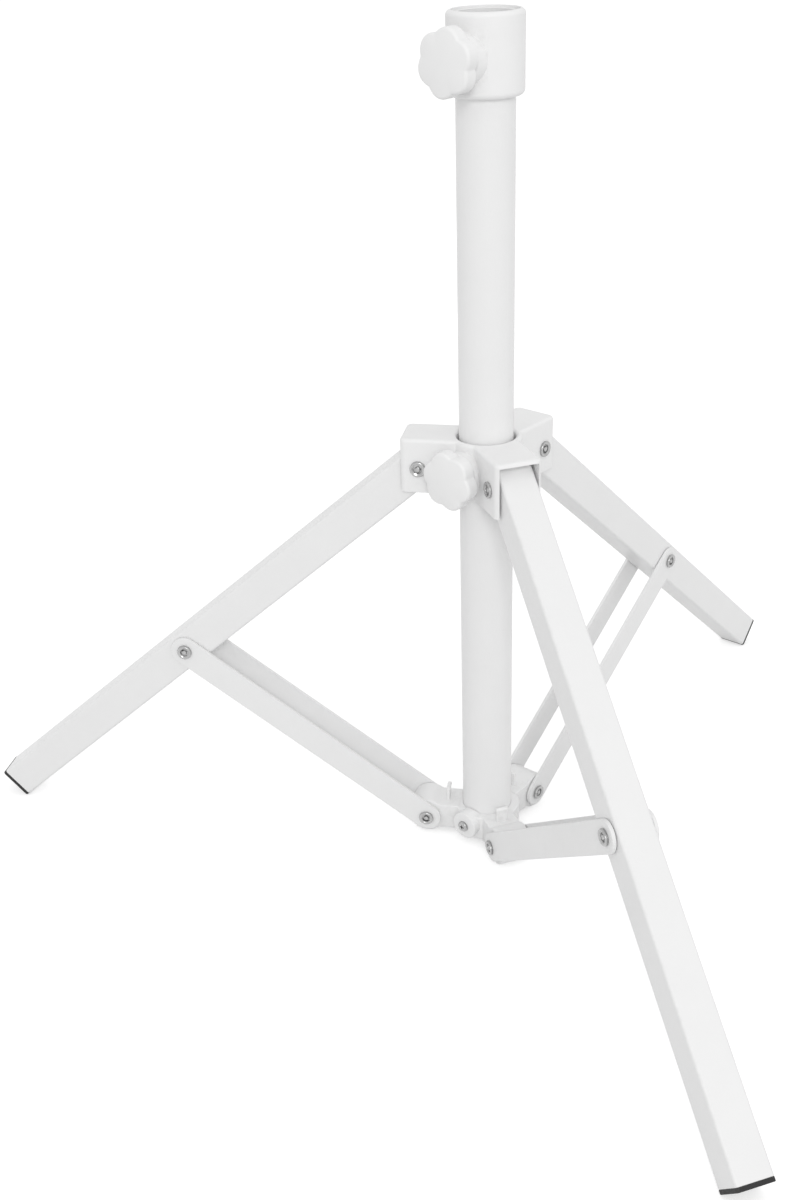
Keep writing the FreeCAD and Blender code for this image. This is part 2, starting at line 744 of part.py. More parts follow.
def check_and_write():
    """Stop at any failed object or bad shape, then write one STEP file for each sub-part."""
    doc.recompute()
    failed = [item.Label for item in doc.Objects if {"Invalid", "Error"} & set(item.State)]
    if failed:
        raise ValueError(f"failed objects: {failed}")
    for part in parts:
        if part.Shape.isNull() or not part.Shape.isValid() or not part.Shape.Solids:
            raise ValueError(f"{part.Label}: its shape is not a valid solid")
    os.makedirs("parts", exist_ok=True)
    for part in parts:
        part.Shape.exportStep(f"parts/{part.Label}.step")
        box = part.Shape.BoundBox
        print(f"{part.Label:24s} {len(part.Shape.Solids)} solid(s) {part.Shape.Volume / 1000:9.3f} cm3"
              f"  z {box.ZMin:8.2f} {box.ZMax:8.2f}")


fill_sheet()
make_stand()
check_and_write()
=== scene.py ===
"""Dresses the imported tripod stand: powder-coated tubes and braces, moulded hubs and knobs, rolled rivets
and rubber feet, on a pale floor under soft studio light.

Lengths are metres, written in millimetres times MM.  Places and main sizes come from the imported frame;
only roundings, rims and surface detail are named here.
"""

import json
import math

import bmesh
import bpy
from mathutils import Matrix
from mathutils import Vector


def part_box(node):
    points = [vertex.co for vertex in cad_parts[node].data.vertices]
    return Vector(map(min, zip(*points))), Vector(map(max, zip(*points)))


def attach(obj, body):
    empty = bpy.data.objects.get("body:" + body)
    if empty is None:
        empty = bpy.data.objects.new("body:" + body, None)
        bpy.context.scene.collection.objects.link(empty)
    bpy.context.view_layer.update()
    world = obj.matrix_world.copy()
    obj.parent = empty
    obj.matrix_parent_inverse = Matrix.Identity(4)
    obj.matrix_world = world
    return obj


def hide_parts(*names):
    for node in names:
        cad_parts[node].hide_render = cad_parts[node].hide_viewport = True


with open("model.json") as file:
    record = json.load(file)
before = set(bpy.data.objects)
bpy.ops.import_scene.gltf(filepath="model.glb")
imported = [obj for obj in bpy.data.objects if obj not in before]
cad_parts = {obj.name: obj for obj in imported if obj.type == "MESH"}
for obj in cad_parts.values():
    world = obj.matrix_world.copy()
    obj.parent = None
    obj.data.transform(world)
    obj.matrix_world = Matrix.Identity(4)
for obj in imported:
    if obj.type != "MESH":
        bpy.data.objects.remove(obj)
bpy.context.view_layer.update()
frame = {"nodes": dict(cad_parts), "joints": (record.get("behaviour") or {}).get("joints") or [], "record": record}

MM = 0.001
SIDES = ("left", "front", "right")
CLAMPS = ("top", "hub")

ROUND_STEPS = 5
LIP_STEPS = 4
SOFT_STEPS = 6
FINE_STEPS = 8
RIM_SEGMENTS = 128
RIVET_SEGMENTS = 40
SCREW_SEGMENTS = 48
CUT_SEGMENTS = 120
CUT_TURN = math.radians(1)
CUT_PAST = 1.0 * MM
WELD_DISTANCE = 1e-7
SHARP_ANGLE = math.radians(32)
WEAR_FROM = math.radians(13)
WEAR_SPAN = math.radians(12)

TUBE_LIP = 0.35 * MM
LEG_CORNER = 1.6 * MM
LEG_WALL = 1.2 * MM
LEG_LIP = 0.3 * MM
LEAST_CORNER = 0.3 * MM
FOOT_LIP = 0.5 * MM
FOOT_RIBS = 5
FOOT_RIB_DEPTH = 0.35 * MM
STEM_GAP = 0.1 * MM
BRACE_LIP = 0.45 * MM

BOSS_RADIUS = 13.6 * MM
BOSS_LIP = 1.5 * MM
BOSS_START = 5.0 * MM
SCREW_HOLE = 4.6 * MM

COLLAR_TOP_LIP = 2.6 * MM
COLLAR_FOOT_LIP = 3.0 * MM
COLLAR_MOUTH = 17.8 * MM
COLLAR_MOUTH_DEPTH = 2.4 * MM
COLLAR_MOUTH_LIP = 0.4 * MM

HUB_WALL = 3.8 * MM
HUB_CHEEK = 2.2 * MM
HUB_PLATE = 2.5 * MM
HUB_CORNER = 4.0 * MM
HUB_BLEND = 2.0 * MM
HUB_TOP_LIP = 2.1 * MM
HUB_FOOT_LIP = 0.5 * MM
HUB_MOUTH_LIP = 2.0 * MM
ARM_HEADINGS = (30, 150, 270)
ARM_BEYOND = 40.0 * MM
SLOT_LIP = 0.5 * MM
SLOT_PAST = 4.0 * MM

CUP_WALL = 5.4 * MM
CUP_FLOOR = 2.5 * MM
CUP_HOLE = 13.0 * MM
CUP_LIP = 1.0 * MM
CUP_STEP = 0.3 * MM
CUP_FIT = 0.05 * MM
CUP_MOUTH_LIP = 0.5 * MM
TONGUE_START = 17.5 * MM
TONGUE_RADIUS = 12.0 * MM
TONGUE_HALF = 9.0 * MM
TONGUE_BLEND = 4.0 * MM
TONGUE_LIP = 0.8 * MM
TAB_REACH = 25.5 * MM
TAB_THICK = 1.6 * MM
TAB_WIDTH = 7.8 * MM
TAB_BEAD = 1.4 * MM
TAB_LIP = 0.25 * MM
LUG_RADIUS = 9.2 * MM
LUG_LIP = 0.9 * MM

KNOB_LOBES = 6
KNOB_TURN = {"top": 50, "hub": 18}
KNOB_NECK = 9.0 * MM
KNOB_NECK_LENGTH = 2.0 * MM
KNOB_NECK_LIP = 0.4 * MM
KNOB_NOTCH = 0.135
KNOB_NOTCH_SOFTNESS = 0.01
KNOB_BACK_LOBING = 0.6
KNOB_BACK_LIP = 1.4 * MM
KNOB_FACE_LIP = 2.0 * MM
KNOB_DOME = 90.0 * MM
KNOB_FACE_RINGS = 10

RIVET_HEAD = 1.6 * MM
RIVET_SHANK = 2.5 * MM
RIVET_EDGE = 0.15 * MM
RIVET_REACH = 10.0 * MM
RIVET_ROLL_SWEEP = 130
# Shares of a rivet head's radius and height.
RIVET_ROLL = 0.5
RIVET_DISH = (0.56, 0.62)
RIVET_FLOOR = 0.22
RIVET_PIP = ((0.36, 0.22), (0.30, 0.62), (0.18, 0.80), (0, 0.86))

SCREW_HEAD = 2.2 * MM
SCREW_SHANK = 2.0 * MM
SCREW_CROWN_LIP = 1.1 * MM
SCREW_CROWN_FLAT = 0.2 * MM
RECESS_WIDTH = 0.9 * MM
RECESS_LENGTH = 4.2 * MM
# (height above the screw's top, share of the full width) at the recess's floor and mouth.
RECESS_LEVELS = ((-1.3 * MM, 0.5), (1.0 * MM, 1.0))

# Painted shade: the grey that inner corners and creases of the white finishes darken towards.
CORNER_SHADE_COLOUR = (0.42, 0.41, 0.39)
# Painted shade: the near-black that inner corners of the metal parts, such as the rivets' dishes, darken towards.
METAL_CORNER_SHADE_COLOUR = (0.05, 0.05, 0.05)
DUST_COLOUR = (0.075, 0.073, 0.07)
SCUFF_ROUGHNESS = 0.3

FLOOR_HALF_SIZE = 30.0
FLOOR_COLOUR = (0.72, 0.72, 0.72, 1)
FLOOR_GLOW = 0.5
WORLD_LIGHT = 0.8
WORLD_SEEN = 1.0
LAMP_TARGET = (0, 0, 0.25)
# Each lamp's place, size and power.
LAMPS = {"key": ((-1.3, -3.8, 2.5), 1.2, 52), "fill": ((1.6, -1.0, 1.4), 1.2, 2)}

CAMERA_SENSOR = 36.0
CAMERA_LENS = 44.13
CAMERA_SHIFT = (-0.0062, 0.0531)
CAMERA_HEADING = math.radians(-18.29)
CAMERA_DOWN = 29.44
CAMERA_ROLL = math.radians(-1.99)
# From the tube's foot, before the heading turns it.
CAMERA_OFFSET = (-54.4 * MM, -812.1 * MM, 586.5 * MM)

joints = {joint["name"]: joint for joint in frame["joints"]}
socket = frame["record"]["mounts"][0]
axis = Vector((socket["pos_m"][0], socket["pos_m"][1], 0))
bore_radius = socket["dims"]["r_mm"] * MM


# ---------------------------------------------------------------- places

def joint_place(name):
    """Where a joint's pivot is."""
    return Vector(joints[name]["pos_m"])


def outward(side):
    """The level direction in which one leg leaves the tube, square to its hinge pins."""
    pin = joints[f"fold_{side}"]["axis"]
    return Vector((-pin[1], pin[0], 0))


def across(side):
    """The direction of one leg's hinge pins."""
    return Vector((0, 0, 1)).cross(outward(side))


def frame_at(origin, along, sideways):
    """A matrix whose X runs along a piece, whose Y is sideways and whose Z is square to both."""
    x = along.normalized()
    z = x.cross(sideways).normalized()
    y = z.cross(x)
    axes = Matrix((x, y, z)).transposed().to_4x4()
    return Matrix.Translation(origin) @ axes


def hub_pivot(side):
    """The centre of one leg's pin in the upper hub."""
    known = joint_place("hub_level")
    reach = (Vector((known.x, known.y, 0)) - axis).length
    return axis + outward(side) * reach + Vector((0, 0, known.z))


def leg_place(side):
    """Origin on the leg's upper pin, X down the leg, Z out of its upper face."""
    pivot = hub_pivot(side)
    return frame_at(pivot, joint_place(f"leg_swing_{side}") - pivot, across(side))


def brace_place(side):
    """Origin on the brace's lower pin, X up the brace."""
    pivot = joint_place(f"fold_{side}")
    return frame_at(pivot, joint_place(f"leg_swing_{side}") - pivot, across(side))


def pin_place(pivot, side):
    """Origin in the middle of a hinge pin, Z along it."""
    pin = across(side)
    return frame_at(pivot, outward(side), pin) @ Matrix.Rotation(math.radians(-90), 4, "X")


def knob_place(clamp):
    """Origin on the tube's axis at a knob's height, Z out through the knob."""
    joint = joints[f"{clamp}_knob_turn"]
    out = Vector(joint["axis"])
    height = Vector((0, 0, joint["pos_m"][2]))
    return frame_at(axis + height, Vector((0, 0, -1)), Vector((0, 0, 1)).cross(out))


def upright_place():
    """Origin on the floor under the tube's axis, Z up."""
    return Matrix.Translation(axis)


def local_points(node, place):
    """A CAD node's vertices, measured in the frame of a place."""
    back = place.inverted()
    return [back @ vertex.co for vertex in frame["nodes"][node].data.vertices]


def box_of(points):
    """(lowest corner, highest corner) of a set of points."""
    low = Vector([min(point[i] for point in points) for i in range(3)])
    high = Vector([max(point[i] for point in points) for i in range(3)])
    return low, high


def local_box(node, place):
    """(lowest corner, highest corner) of a CAD node, measured in the frame of a place."""
    return box_of(local_points(node, place))


def bore_of(node, place):
    """The radius of the hole that a CAD node has around a place's Z axis."""
    return min(math.hypot(point.x, point.y) for point in local_points(node, place))


# ---------------------------------------------------------------- outlines

def arc(centre, radius, start, end, steps):
    """Points on an arc from one angle to another, in degrees, both ends included."""
    points = []
    for step in range(steps + 1):
        angle = math.radians(start + (end - start) * step / steps)
        points.append((centre[0] + radius * math.cos(angle), centre[1] + radius * math.sin(angle)))
    return points


def rounded_rectangle(low, high, radius):
    """The outline of a rectangle with four round corners, counter-clockwise."""
    corners = (
        (high[0] - radius, high[1] - radius, 0),
        (low[0] + radius, high[1] - radius, 90),
        (low[0] + radius, low[1] + radius, 180),
        (high[0] - radius, low[1] + radius, 270),
    )
    points = []
    for x, y, start in corners:
        points += arc((x, y), radius, start, start + 90, ROUND_STEPS)
    return points


def slot_outline(left, right, radius):
    """The outline of a strip with round ends, whose end circles are centred at left and right."""
    steps = 6 * ROUND_STEPS
    return arc((right, 0), radius, -90, 90, steps) + arc((left, 0), radius, 90, 270, steps)


def lip(radius, level, inward, steps=LIP_STEPS):
    """(height, inset) pairs that round an edge: inset grows as the height nears the level.

    inward is 1 for an edge reached from below and -1 for one reached from above.
    """
    pairs = []
    for step in range(steps + 1):
        angle = math.radians(90 * step / steps)
        height = level - inward * radius * (1 - math.sin(angle))
        pairs.append((height, radius * (1 - math.cos(angle))))
    return pairs


# ---------------------------------------------------------------- meshes

def evaluated(holder, name):
    """The mesh of an object with its modifiers applied; the object is removed."""
    graph = bpy.context.evaluated_depsgraph_get()
    mesh = bpy.data.meshes.new_from_object(
        holder.evaluated_get(graph), preserve_all_data_layers=True, depsgraph=graph
    )
    mesh.name = name
    bpy.data.objects.remove(holder)
    return mesh


def held(mesh):
    """A scene object that carries a mesh while modifiers work on it."""
    holder = bpy.data.objects.new(f"{mesh.name}_holder", mesh)
    bpy.context.scene.collection.objects.link(holder)
    return holder


def finished(name, mesh, body, nodes, finish):
    """Turn a mesh into a piece that rides on a body and stands for CAD nodes."""
    mesh.shade_smooth()
    mesh.set_sharp_from_angle(angle=SHARP_ANGLE)
    holder = held(mesh)
    flat_faces = holder.modifiers.new("flat_faces", "WEIGHTED_NORMAL")
    flat_faces.keep_sharp = True
    mesh = evaluated(holder, name)
    mesh.materials.clear()
    mesh.materials.append(finishes[finish])
    mark_edges(mesh)
    piece = bpy.data.objects.new(name, mesh)
    bpy.context.scene.collection.objects.link(piece)
    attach(piece, body)
    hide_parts(*nodes)
    return piece


def mark_edges(mesh):
    """Store how sharply the surface turns at each vertex, outward as edge and inward as crevice."""
    work = bmesh.new()
    work.from_mesh(mesh)
    edge_values = [0.0] * len(work.verts)
    crevice_values = [0.0] * len(work.verts)
    for edge in work.edges:
        if len(edge.link_faces) != 2:
            continue
        turn = edge.calc_face_angle_signed(0.0)
        amount = min(1.0, max(0.0, (abs(turn) - WEAR_FROM) / WEAR_SPAN))
        values = edge_values if turn > 0 else crevice_values
        for vertex in edge.verts:
            values[vertex.index] = max(values[vertex.index], amount)
    work.free()
    for label, values in (("edge", edge_values), ("crevice", crevice_values)):
        layer = mesh.attributes.new(label, "FLOAT", "POINT")
        layer.data.foreach_set("value", values)


def closed_mesh(name, work, place):
    """Finish a bmesh: weld it, face it outwards, put it in place and make it a mesh."""
    bmesh.ops.remove_doubles(work, verts=work.verts, dist=WELD_DISTANCE)
    bmesh.ops.recalc_face_normals(work, faces=work.faces)
    work.transform(place)
    mesh = bpy.data.meshes.new(name)
    work.to_mesh(mesh)
    work.free()
    return mesh


def add_loops(work, loops, joined=False):
    """Skin a row of equal loops with quads; joined ties the last loop back to the first."""
    rows = [[work.verts.new(point) for point in loop] for loop in loops]
    pairs = list(zip(rows, rows[1:]))
    if joined:
        pairs.append((rows[-1], rows[0]))
    for lower, upper in pairs:
        for index in range(len(lower)):
            following = (index + 1) % len(lower)
            work.faces.new((lower[index], lower[following], upper[following], upper[index]))
    if not joined:
        work.faces.new(list(reversed(rows[0])))
        work.faces.new(rows[-1])
    return rows


def turned(name, profile, place, segments=RIM_SEGMENTS, solid=True):
    """Revolve (radius, height) points about Z; a solid profile starts and ends on the axis."""
    work = bmesh.new()
    rows = []
    for radius, height in profile:
        if radius <= 0:
            rows.append([work.verts.new((0, 0, height))])
            continue
        ring = []
        for step in range(segments):
            angle = 2 * math.pi * step / segments
            ring.append(work.verts.new((radius * math.cos(angle), radius * math.sin(angle), height)))
        rows.append(ring)
    pairs = list(zip(rows, rows[1:]))
    if not solid:
        pairs.append((rows[-1], rows[0]))
    for lower, upper in pairs:
        for index in range(segments):
            following = (index + 1) % segments
            if len(lower) == 1:
                work.faces.new((lower[0], upper[following], upper[index]))
            elif len(upper) == 1:
                work.faces.new((lower[index], lower[following], upper[0]))
            else:
                work.faces.new((lower[index], lower[following], upper[following], upper[index]))
    return closed_mesh(name, work, place)


def prism(name, outline, levels, place):
    """Stack an outline at (height, inset) levels; outline(inset) gives its points."""
    work = bmesh.new()
    add_loops(work, [[(x, y, height) for x, y in outline(inset)] for height, inset in levels])
    return closed_mesh(name, work, place)


def combined(name, base, added, removed):
    """A base mesh with other meshes joined to it and then cut from it."""
    holder = held(base)
    tools = []
    for operation, group in (("UNION", added), ("DIFFERENCE", removed)):
        for tool in group:
            tools.append(held(tool))
            step = holder.modifiers.new("step", "BOOLEAN")
            step.operation = operation
            step.solver = "EXACT"
            step.object = tools[-1]
    mesh = evaluated(holder, name)
    for tool in tools:
        bpy.data.objects.remove(tool)
    work = bmesh.new()
    work.from_mesh(mesh)
    return closed_mesh(name, work, Matrix.Identity(4))


def rod(radius, start, end, place, edge=0.0):
    """A solid round bar along Z, with the edge of its far end rounded if asked."""
    rim = [(radius - inset, height) for height, inset in lip(edge, end, 1)] if edge else [(radius, end)]
    return turned("rod", [(0, start), (radius, start), *rim, (0, end)], place)


def cutter(profile, place):
    """A turned solid to cut away, its facets set off from those of the piece that it cuts."""
    return turned("cutter", profile, place @ Matrix.Rotation(CUT_TURN, 4, "Z"), CUT_SEGMENTS)


def hole(radius, start, end, place):
    """A round hole along Z, as a solid to cut away."""
    return cutter([(0, start), (radius, start), (radius, end), (0, end)], place)


# ---------------------------------------------------------------- shader groups

def new_group(name, inputs, outputs):
    """An empty shader group with named float inputs and outputs."""
    group = bpy.data.node_groups.new(name, "ShaderNodeTree")
    for label, value in inputs.items():
        entry = group.interface.new_socket(label, in_out="INPUT", socket_type="NodeSocketFloat")
        entry.default_value = value
    for label in outputs:
        group.interface.new_socket(label, in_out="OUTPUT", socket_type="NodeSocketFloat")
    source = group.nodes.new("NodeGroupInput")
    sink = group.nodes.new("NodeGroupOutput")
    return group, source, sink


def math_node(group, operation, first, second, clamp=False):
    """A Math node in a tree, fed by sockets or numbers."""
    node = group.nodes.new("ShaderNodeMath")
    node.operation = operation
    node.use_clamp = clamp
    for index, value in enumerate((first, second)):
        if isinstance(value, (int, float)):
            node.inputs[index].default_value = value
        else:
            group.links.new(value, node.inputs[index])
    return node.outputs[0]


def noise_node(group, scale, detail, roughness, stretch=None):
    """A noise in Object coordinates; stretch scales the axes apart."""
    where = group.nodes.new("ShaderNodeTexCoord").outputs["Object"]
    if stretch is not None:
        mapping = group.nodes.new("ShaderNodeMapping")
        mapping.inputs["Scale"].default_value = stretch
        group.links.new(where, mapping.inputs["Vector"])
        where = mapping.outputs["Vector"]
    node = group.nodes.new("ShaderNodeTexNoise")
    group.links.new(where, node.inputs["Vector"])
    node.inputs["Detail"].default_value = detail
    node.inputs["Roughness"].default_value = roughness
    group.links.new(scale, node.inputs["Scale"])
    return node.outputs["Fac"]


def make_grain_group():
    """Fine surface grain over slow waviness: a height for bump and a mask for tone and roughness."""
    group, source, sink = new_group(
        "SurfaceGrain", {"Grain Scale": 900.0, "Wave Scale": 60.0, "Wave Share": 0.3}, ("Height", "Tone")
    )
    fine = noise_node(group, source.outputs["Grain Scale"], detail=2.0, roughness=0.6)
    slow = noise_node(group, source.outputs["Wave Scale"], detail=3.0, roughness=0.55)
    waves = math_node(group, "MULTIPLY", slow, source.outputs["Wave Share"])
    group.links.new(math_node(group, "ADD", fine, waves), sink.inputs["Height"])
    group.links.new(slow, sink.inputs["Tone"])
    return group


def make_wear_and_shade_group():
    """Rubbed outer edges, and painted shade that darkens inner corners, both broken up by noise."""
    group, source, sink = new_group(
        "EdgeWear", {"Patch Scale": 240.0, "Wear": 0.5, "Dirt": 0.5}, ("Worn", "Dirty")
    )
    patches = noise_node(group, source.outputs["Patch Scale"], detail=4.0, roughness=0.65)
    spread = group.nodes.new("ShaderNodeMapRange")
    spread.inputs["From Min"].default_value = 0.42
    spread.inputs["From Max"].default_value = 0.64
    group.links.new(patches, spread.inputs["Value"])
    # Convex edges give the rubbed wear; inward crevices give the painted shade in inner corners.
    for attribute, amount, output in (("edge", "Wear", "Worn"), ("crevice", "Dirt", "Dirty")):
        reader = group.nodes.new("ShaderNodeAttribute")
        reader.attribute_name = attribute
        broken = math_node(group, "MULTIPLY", reader.outputs["Fac"], spread.outputs["Result"])
        scaled = math_node(group, "MULTIPLY", broken, source.outputs[amount], clamp=True)
        group.links.new(scaled, sink.inputs[output])
    return group


def make_scuff_group():
    """Sparse thin scuffs and handling marks scattered over a surface."""
    group, source, sink = new_group("Scuffs", {"Scuff Scale": 26.0, "Amount": 0.3}, ("Mask",))
    streaks = noise_node(
        group, source.outputs["Scuff Scale"], detail=5.0, roughness=0.7, stretch=(6.0, 6.0, 1.0)
    )
    picked = group.nodes.new("ShaderNodeMapRange")
    picked.inputs["From Min"].default_value = 0.60
    picked.inputs["From Max"].default_value = 0.72
    group.links.new(streaks, picked.inputs["Value"])
    scaled = math_node(group, "MULTIPLY", picked.outputs["Result"], source.outputs["Amount"], clamp=True)
    group.links.new(scaled, sink.inputs["Mask"])
    return group


# ---------------------------------------------------------------- finishes

def place_group(tree, group, **values):
    """A shader group in a material, with its inputs set by name (underscores stand for spaces)."""
    node = tree.nodes.new("ShaderNodeGroup")
    node.node_tree = group
    for label, value in values.items():
        node.inputs[label.replace("_", " ")].default_value = value
    return node


def blend_colour(tree, factor, first, second):
    """Mix two colours, given as sockets or as RGB values, by a socket."""
    node = tree.nodes.new("ShaderNodeMix")
    node.data_type = "RGBA"
    tree.links.new(factor, node.inputs["Factor"])
    for label, colour in (("A", first), ("B", second)):
        entry = next(s for s in node.inputs if s.name == label and s.type == "RGBA")
        if isinstance(colour, tuple):
            entry.default_value = (*colour, 1.0)
        else:
            tree.links.new(colour, entry)
    return next(s for s in node.outputs if s.type == "RGBA")


def spread_value(tree, factor, low, high):
    """Map a 0 to 1 mask onto a range."""
    node = tree.nodes.new("ShaderNodeMapRange")
    node.inputs["To Min"].default_value = low
    node.inputs["To Max"].default_value = high
    tree.links.new(factor, node.inputs["Value"])
    return node.outputs["Result"]


def new_finish(name, light, shade, grain, depth, roughness):
    """A node material with grain, a slow drift between two colours and uneven roughness.

    grain gives the grain's scale, the waves' scale and the waves' share; depth is the bump's.
    Returns the material, its tree and its shader.
    """
    finish = bpy.data.materials.new(name)
    finish.use_nodes = True
    tree = finish.node_tree
    shader = tree.nodes["Principled BSDF"]
    surface = place_group(
        tree, groups["grain"], Grain_Scale=grain[0], Wave_Scale=grain[1], Wave_Share=grain[2]
    )
    plain = blend_colour(tree, surface.outputs["Tone"], light, shade)
    rough = spread_value(tree, surface.outputs["Tone"], roughness[0], roughness[1])
    tree.links.new(plain, shader.inputs["Base Color"])
    tree.links.new(rough, shader.inputs["Roughness"])
    bump = tree.nodes.new("ShaderNodeBump")
    bump.inputs["Strength"].default_value = 1.0
    bump.inputs["Distance"].default_value = depth
    tree.links.new(surface.outputs["Height"], bump.inputs["Height"])
    tree.links.new(bump.outputs["Normal"], shader.inputs["Normal"])
    return finish, tree, shader


def fed_by(shader, label):
    """The socket that feeds one of the shader's inputs so far."""
    return shader.inputs[label].links[0].from_socket


def white_finish(name, light, shade, worn, grain, depth, roughness, wear):
    """A white surface with rubbed edges, painted shade in its inner corners and faint scuffs."""
    finish, tree, shader = new_finish(name, light, shade, grain, depth, roughness)
    edges = place_group(tree, groups["wear"], Wear=wear, Dirt=0.12)
    marks = place_group(tree, groups["scuffs"], Amount=0.35)
    rubbed = blend_colour(tree, edges.outputs["Worn"], fed_by(shader, "Base Color"), worn)
    marked = blend_colour(tree, marks.outputs["Mask"], rubbed, shade)
    # Painted shade: inner corners are darkened towards a grey.
    corner_shaded = blend_colour(tree, edges.outputs["Dirty"], marked, CORNER_SHADE_COLOUR)
    tree.links.new(corner_shaded, shader.inputs["Base Color"])
    duller = math_node(tree, "MULTIPLY", marks.outputs["Mask"], SCUFF_ROUGHNESS)
    rough = math_node(tree, "ADD", fed_by(shader, "Roughness"), duller, clamp=True)
    tree.links.new(rough, shader.inputs["Roughness"])
    shader.inputs["Specular IOR Level"].default_value = 0.35
    return finish, shader


def powder_coat():
    """Satin white powder coat on steel, with its faint orange peel."""
    finish, shader = white_finish(
        "white_powder_coat", light=(0.86, 0.86, 0.86), shade=(0.83, 0.83, 0.83), worn=(0.70, 0.70, 0.70),
        grain=(700.0, 45.0, 0.4), depth=0.06 * MM, roughness=(0.34, 0.46), wear=0.5,
    )
    shader.inputs["Coat Weight"].default_value = 0.05
    return finish


def moulded_white():
    """Moulded white plastic with a fine grain."""
    return white_finish(
        "white_plastic", light=(0.88, 0.88, 0.88), shade=(0.85, 0.85, 0.85), worn=(0.78, 0.78, 0.78),
        grain=(1800.0, 70.0, 0.2), depth=0.04 * MM, roughness=(0.42, 0.56), wear=0.35,
    )[0]


def metal(name, light, shade, roughness):
    """A plated or turned metal with fine grain, uneven polish and painted shade darkening its corners and grooves.
    """
    finish, tree, shader = new_finish(
        name, light, shade, grain=(2600.0, 300.0, 0.6), depth=0.03 * MM, roughness=roughness
    )
    edges = place_group(tree, groups["wear"], Wear=0.3, Dirt=0.9)
    # Painted shade: corners and grooves are darkened almost to black.
    corner_shaded = blend_colour(tree, edges.outputs["Dirty"], fed_by(shader, "Base Color"), METAL_CORNER_SHADE_COLOUR)
    tree.links.new(corner_shaded, shader.inputs["Base Color"])
    shader.inputs["Metallic"].default_value = 1.0
    return finish


def foot_rubber():
    """Moulded black rubber, dusty where it is rubbed."""
    finish, tree, shader = new_finish(
        "black_rubber", light=(0.012, 0.012, 0.013), shade=(0.024, 0.024, 0.024),
        grain=(1500.0, 120.0, 0.5), depth=0.08 * MM, roughness=(0.6, 0.82),
    )
    edges = place_group(tree, groups["wear"], Wear=0.8, Dirt=0.5)
    dusty = blend_colour(tree, edges.outputs["Worn"], fed_by(shader, "Base Color"), DUST_COLOUR)
    tree.links.new(dusty, shader.inputs["Base Color"])
    return finish


def nylon():
    """Natural nylon, slightly yellow and waxy."""
    return new_finish(
        "nylon", light=(0.76, 0.74, 0.68), shade=(0.70, 0.68, 0.61),
        grain=(2000.0, 200.0, 0.4), depth=0.03 * MM, roughness=(0.38, 0.5),
    )[0]


groups = {"grain": make_grain_group(), "wear": make_wear_and_shade_group(), "scuffs": make_scuff_group()}
finishes = {
    "white_powder_coat": powder_coat(),
    "white_plastic": moulded_white(),
    "zinc_steel": metal("zinc_steel", (0.52, 0.52, 0.52), (0.36, 0.36, 0.36), (0.2, 0.36)),
    "brass": metal("brass", (0.76, 0.58, 0.28), (0.60, 0.44, 0.20), (0.25, 0.40)),
    "nylon": nylon(),
    "black_rubber": foot_rubber(),
}


# ---------------------------------------------------------------- tube, legs, feet and braces

def make_tube():
    """The fixed tube, with a softened mouth."""
    place = upright_place()
    low, high = local_box("main_tube", place)
    outer = high.x
    bottom = [(outer - inset, height) for height, inset in reversed(lip(TUBE_LIP, low.z, -1))]
    top = [(outer - inset, height) for height, inset in lip(TUBE_LIP, high.z, 1)]
    inner_top = [(bore_radius + inset, height) for height, inset in reversed(lip(TUBE_LIP, high.z, 1))]
    inner_bottom = [(bore_radius + inset, height) for height, inset in lip(TUBE_LIP, low.z, -1)]
    mesh = turned("tube", bottom + top + inner_top + inner_bottom, place, solid=False)
    finished("tube", mesh, "mast", ["main_tube"], "white_powder_coat")


def leg_section(low, high):
    """A function that draws a round-cornered square loop inside a leg's box, at a distance along X."""

    def section(distance, inset):
        radius = max(LEG_CORNER - inset, LEAST_CORNER)
        outline = rounded_rectangle((low.y + inset, low.z + inset), (high.y - inset, high.z - inset), radius)
        return [(distance, y, z) for y, z in outline]

    return section


def make_leg(side):
    """One leg: a square tube with round corners and softened ends."""
    place = leg_place(side)
    low, high = local_box(f"leg_{side}", place)
    section = leg_section(low, high)
    outer = [section(x, inset) for x, inset in reversed(lip(LEG_LIP, low.x, -1))]
    outer += [section(x, inset) for x, inset in lip(LEG_LIP, high.x, 1)]
    inner = [section(x, LEG_WALL - inset) for x, inset in reversed(lip(LEG_LIP, high.x, 1))]
    inner += [section(x, LEG_WALL - inset) for x, inset in lip(LEG_LIP, low.x, -1)]
    work = bmesh.new()
    add_loops(work, outer + inner, joined=True)
    mesh = closed_mesh(f"leg_tube_{side}", work, place)
    finished(f"leg_tube_{side}", mesh, f"leg_{side}", [f"leg_{side}"], "white_powder_coat")


def make_foot(side):
    """One rubber foot: a soft-edged plate over the leg's end, ribbed below, and its stem."""
    place = leg_place(side)
    low, high = local_box(f"foot_{side}", place)
    section = leg_section(low, high)
    tube_end = local_box(f"leg_{side}", place)[1].x
    stem = LEG_WALL + STEM_GAP
    loops = [section(low.x, stem + FOOT_LIP), section(low.x + FOOT_LIP, stem), section(tube_end, stem)]
    loops += [section(x, inset) for x, inset in reversed(lip(FOOT_LIP, tube_end, -1))]
    loops += [section(x, inset) for x, inset in lip(FOOT_LIP, high.x, 1)]
    tread = 2 * FOOT_RIB_DEPTH
    for rib in range(FOOT_RIBS):
        inset = tread * (1 + 2 * rib) + FOOT_LIP
        loops.append(section(high.x, inset))
        loops.append(section(high.x - FOOT_RIB_DEPTH, inset + tread / 2))
        loops.append(section(high.x - FOOT_RIB_DEPTH, inset + tread))
        loops.append(section(high.x, inset + 3 * tread / 2))
    work = bmesh.new()
    add_loops(work, loops)
    mesh = closed_mesh(f"foot_pad_{side}", work, place)
    finished(f"foot_pad_{side}", mesh, f"leg_{side}", [f"foot_{side}"], "black_rubber")


